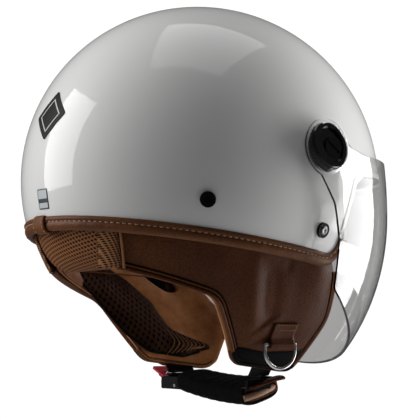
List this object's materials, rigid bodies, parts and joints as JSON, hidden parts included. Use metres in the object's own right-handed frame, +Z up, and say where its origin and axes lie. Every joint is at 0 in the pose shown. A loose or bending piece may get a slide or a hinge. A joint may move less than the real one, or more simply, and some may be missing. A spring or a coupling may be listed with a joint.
{
  "type": "open face motorcycle helmet",
  "caption": "Open face motorcycle helmet with a glossy white shell, flip-up clear visor, brown leather trim and ear flaps, and a padded chin strap with ratchet buckle.",
  "frame": {"origin": "centre of the shell's ellipsoid, which is the middle of the head cavity", "axes": "+Z up, -Y the way the wearer faces, -X the wearer's right side"},
  "size_m": [0.258, 0.2747, 0.2838],
  "materials": {
    "shell_paint": "glossy white lacquer on an injection moulded shell",
    "edge_moulding": "satin white moulding",
    "foam_liner": "black expanded polystyrene",
    "brown_leather": "grained reddish brown leather",
    "tan_leather": "smooth tan leather",
    "brown_suede": "napped brown suede",
    "brown_mesh": "open spacer mesh over foam",
    "crown_cloth": "dark comfort cloth over foam",
    "black_band": "black woven band",
    "black_webbing": "black polyester webbing",
    "black_padding": "black padded cloth",
    "polished_steel": "polished steel",
    "plated_steel": "zinc plated steel",
    "black_steel": "black lacquered steel",
    "black_plastic": "black moulded plastic",
    "clear_plastic": "clear hard coated polycarbonate",
    "nylon_white": "natural nylon",
    "emblem_print": "black printed emblem on clear film",
    "label_film": "grey printed label",
    "red_tab": "red moulded pull tab"
  },
  "bodies": {
    "helmet": {"outer_shell": "shell_paint", "face_edge_moulding": "edge_moulding", "rim_trim": "brown_leather", "eps_liner": "foam_liner", "crown_pad": "crown_cloth", "neck_roll": "brown_mesh", "goggle_loop": "brown_leather", "ear_flap_right": "brown_leather", "ear_flap_left": "brown_leather", "flap_band_right": "black_band", "flap_band_left": "black_band", "flap_piping_right": "tan_leather", "flap_piping_left": "tan_leather", "flap_lining_right": "brown_suede", "flap_lining_left": "brown_suede", "cheek_pad_right": "brown_mesh", "cheek_pad_left": "brown_mesh", "d_ring_tab_right": "brown_leather", "d_ring_tab_left": "brown_leather", "pivot_seats": "nylon_white", "pivot_bushes": "nylon_white", "pivot_covers": "black_plastic", "coin_screws": "black_plastic", "pivot_inserts": "plated_steel", "press_studs": "black_steel", "strap_rivets": "black_steel", "anchor_plates": "plated_steel", "back_emblem": "emblem_print", "back_label": "label_film", "webbing_right": "black_webbing", "webbing_left": "black_webbing", "buckle_frame": "black_steel", "lever_pin": "plated_steel", "lever_spring": "plated_steel"},
    "visor": {"visor": "clear_plastic"},
    "d_ring_right": {"d_ring_right": "polished_steel"},
    "d_ring_left": {"d_ring_left": "polished_steel"},
    "chin_strap": {"strap_sleeve": "black_padding", "sleeve_lining": "brown_leather", "chin_webbing": "black_webbing", "buckle_tongue": "black_plastic"},
    "buckle_lever": {"buckle_lever": "black_plastic", "pull_tab": "red_tab", "pull_tab_rivet": "polished_steel"}
  },
  "joints": [
    {"name": "visor_hinge", "type": "hinge", "parent": "helmet", "child": "visor", "pos_m": [0, -0.021, 0.0148], "axis": [-1, 0, 0], "range_deg": [0, 65]},
    {"name": "d_ring_right_hinge", "type": "hinge", "parent": "helmet", "child": "d_ring_right", "pos_m": [-0.0727, -0.0152, -0.1155], "axis": [0, 1, 0], "range_deg": [0, 100]},
    {"name": "d_ring_left_hinge", "type": "hinge", "parent": "helmet", "child": "d_ring_left", "pos_m": [0.0727, -0.0152, -0.1155], "axis": [0, -1, 0], "range_deg": [0, 100]},
    {"name": "tongue_slide", "type": "slide", "parent": "helmet", "child": "chin_strap", "axis": [-1, 0, 0], "range_m": [0, 0.01]},
    {"name": "lever_hinge", "type": "hinge", "parent": "helmet", "child": "buckle_lever", "pos_m": [0.0395, -0.014, -0.1468], "axis": [0, 1, 0], "range_deg": [0, 22], "stiffness_Nm_per_rad": 0.03, "springref_deg": -11.46}
  ]
}
